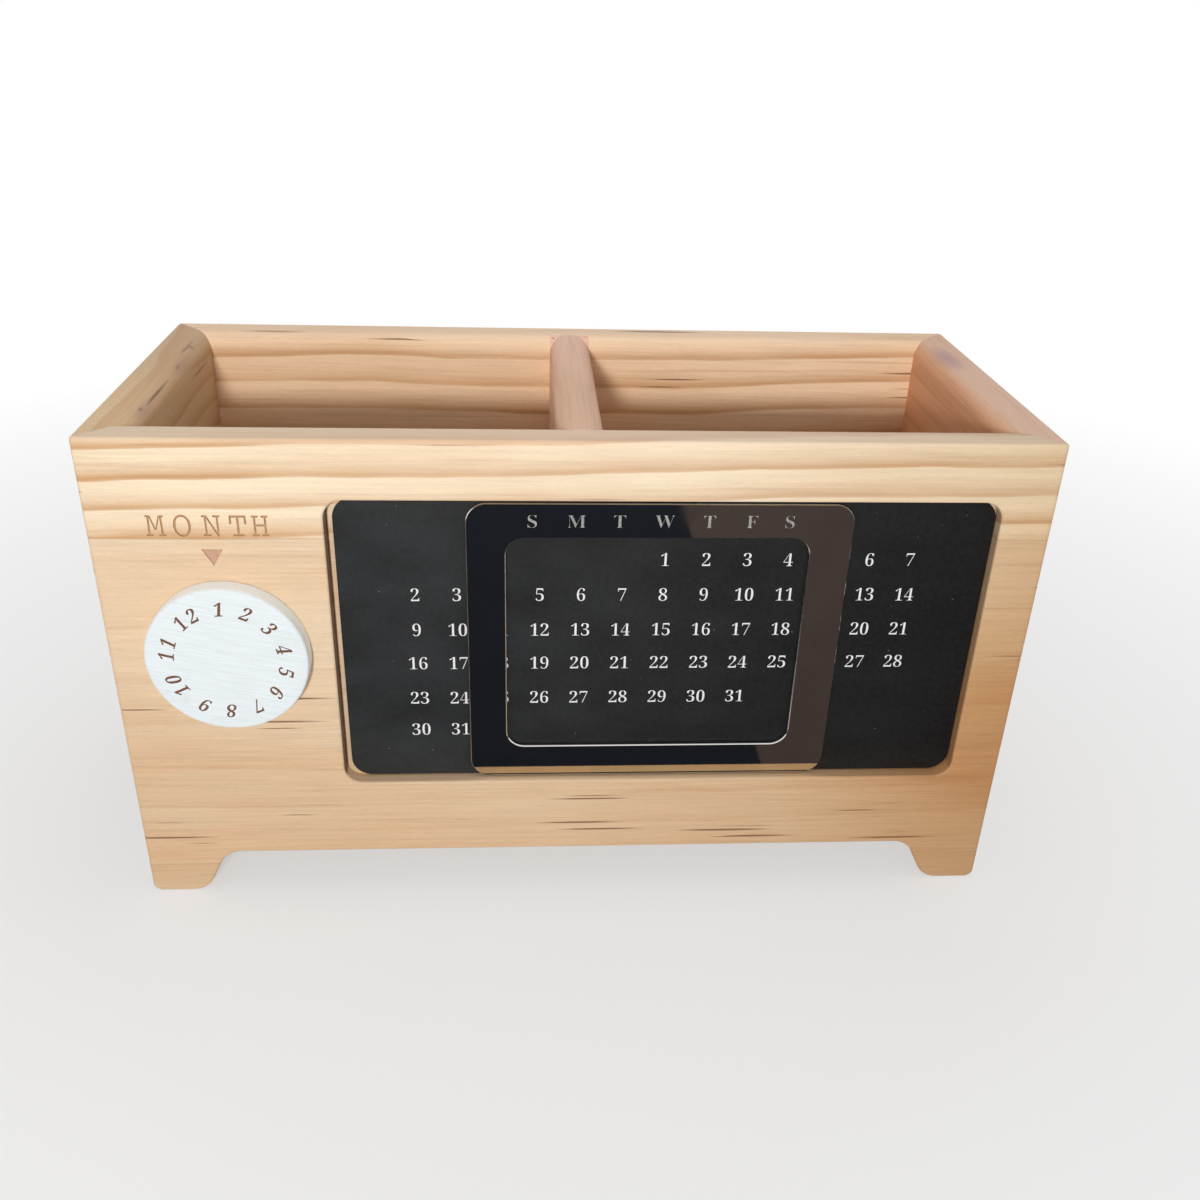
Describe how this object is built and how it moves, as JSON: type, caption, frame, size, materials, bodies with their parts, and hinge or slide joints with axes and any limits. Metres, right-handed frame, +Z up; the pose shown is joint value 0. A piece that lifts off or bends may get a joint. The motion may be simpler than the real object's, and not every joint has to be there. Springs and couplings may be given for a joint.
{
  "type": "desk calendar organizer",
  "caption": "Mitred wooden desk box on bracket feet, with open pen compartments, a printed day plate under a sliding magnetic window frame, and a turning month dial.",
  "frame": {"origin": "on the ground, in the middle of the whole object's width and depth, the dial's projection in front included", "axes": "+X to the right seen from the front, +Y to the back, +Z up; the calendar is on the -Y side"},
  "size_m": [0.2, 0.0892, 0.114],
  "materials": {
    "pine": "sanded and clear oiled pine",
    "floor_ply": "raw plywood",
    "black_plate": "satin black paint with white print",
    "adhesive": "double-sided adhesive sheet",
    "mirror_steel": "mirror-polished stainless steel with bevelled edges",
    "magnet": "matt magnetic strip",
    "dial_white": "white painted wood with brown numerals",
    "spindle_wood": "turned beech dowel",
    "screw_steel": "zinc-plated steel"
  },
  "bodies": {
    "case": {"front_board": "pine", "back_board": "pine", "left_board": "pine", "right_board": "pine", "divider_board": "pine", "floor_board": "floor_ply", "calendar_plate": "black_plate", "plate_tape": "adhesive"},
    "slider": {"slider_frame": "mirror_steel", "left_magnet": "magnet", "right_magnet": "magnet"},
    "dial": {"month_dial": "dial_white", "dial_spindle": "spindle_wood", "spindle_washer": "screw_steel", "spindle_screw": "screw_steel"}
  },
  "joints": [
    {"name": "frame_slide", "type": "slide", "parent": "case", "child": "slider", "axis": [1, 0, 0], "range_m": [-0.0281, 0.0304]},
    {"name": "month_turn", "type": "hinge", "parent": "case", "child": "dial", "pos_m": [-0.0743, -0.04045, 0.06595], "axis": [0, 1, 0], "continuous": true}
  ]
}
